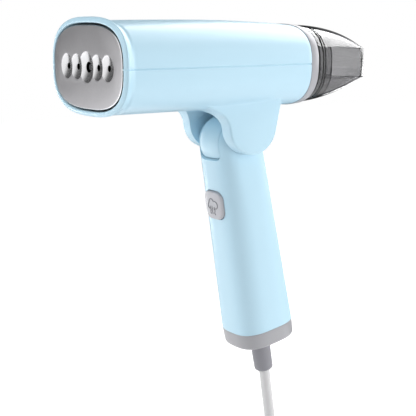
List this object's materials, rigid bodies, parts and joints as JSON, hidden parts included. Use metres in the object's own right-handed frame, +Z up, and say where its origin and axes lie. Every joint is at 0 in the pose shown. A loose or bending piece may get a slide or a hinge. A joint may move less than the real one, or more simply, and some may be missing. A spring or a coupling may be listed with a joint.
{
  "type": "garment steamer",
  "caption": "Handheld garment steamer with a folding handle, a soleplate with concave steam dishes, a clip-on clear water tank and a tied mains cord.",
  "frame": {"origin": "grip point on the handle's own axis, 70 mm below the hinge", "axes": "+Z up with the head level, soleplate towards -Y, water tank towards +Y, +X to the object's left-hand side as its user holds it"},
  "size_m": [0.0954, 0.1887, 0.4627],
  "materials": {
    "shell_blue": "satin",
    "cover_blue": "satin",
    "grey_plastic": "satin",
    "collar_grey": "satin",
    "plate_metal": "satin",
    "boiler_metal": "as cast",
    "steel": "satin",
    "brass": "satin",
    "black_rubber": "matte",
    "grey_rubber": "matte",
    "black_plastic": "matte",
    "white_plastic": "satin",
    "board_green": "satin",
    "part_blue": "satin",
    "part_yellow": "satin",
    "smoky_clear": "clear, smoky",
    "cord_white": "satin",
    "cord_tie": "matte"
  },
  "bodies": {
    "handle": {"handle_shell": "shell_blue", "knuckle_cover": "cover_blue", "hinge_bushes": "white_plastic", "microswitch": "black_plastic", "control_board": "board_green", "board_relay": "part_blue", "board_capacitor": "part_yellow", "board_triac": "black_plastic", "board_rails": "white_plastic", "board_screws": "steel", "bottom_cap": "grey_plastic", "strain_relief": "grey_rubber", "cord_clamp": "white_plastic", "clamp_screws": "steel", "cord_core": "cord_white", "cord_tube": "cord_white", "cord_hank": "cord_white", "cord_tie": "cord_tie", "cord_tail": "cord_white", "plug_body": "cord_white", "plug_pins": "brass"},
    "head": {"upper_shell": "shell_blue", "lower_shell": "shell_blue", "hinge_pin_left": "steel", "hinge_pin_right": "steel", "steam_plate": "plate_metal", "steam_pin": "steel", "plate_gasket": "black_rubber", "boiler": "boiler_metal", "boiler_cover": "boiler_metal", "cover_screws": "steel", "heating_rods": "steel", "thermostat": "black_plastic", "thermal_fuse": "steel", "pump": "white_plastic", "pump_frame": "steel", "pump_mounts": "black_rubber", "water_tube": "white_plastic", "tank_socket": "grey_plastic", "socket_nozzle": "brass", "nozzle_ring": "black_rubber", "tank_collar": "collar_grey"},
    "button": {"steam_button": "grey_plastic"},
    "tank": {"tank_body": "smoky_clear", "tank_seal": "black_rubber", "tank_valve": "grey_rubber", "filler_plug": "grey_rubber"}
  },
  "joints": [
    {"name": "fold", "type": "hinge", "parent": "handle", "child": "head", "pos_m": [0, -0.01264, 0.06885], "axis": [1, 0, 0], "range_deg": [0, 96]},
    {"name": "button_press", "type": "slide", "parent": "handle", "child": "button", "axis": [0, 0.9836, 0.1805], "range_m": [0, 0.0015], "stiffness_N_per_m": 1200, "springref_m": -0.0012},
    {"name": "tank_slide", "type": "slide", "parent": "head", "child": "tank", "axis": [0, 1, 0], "range_m": [0, 0.018]}
  ]
}
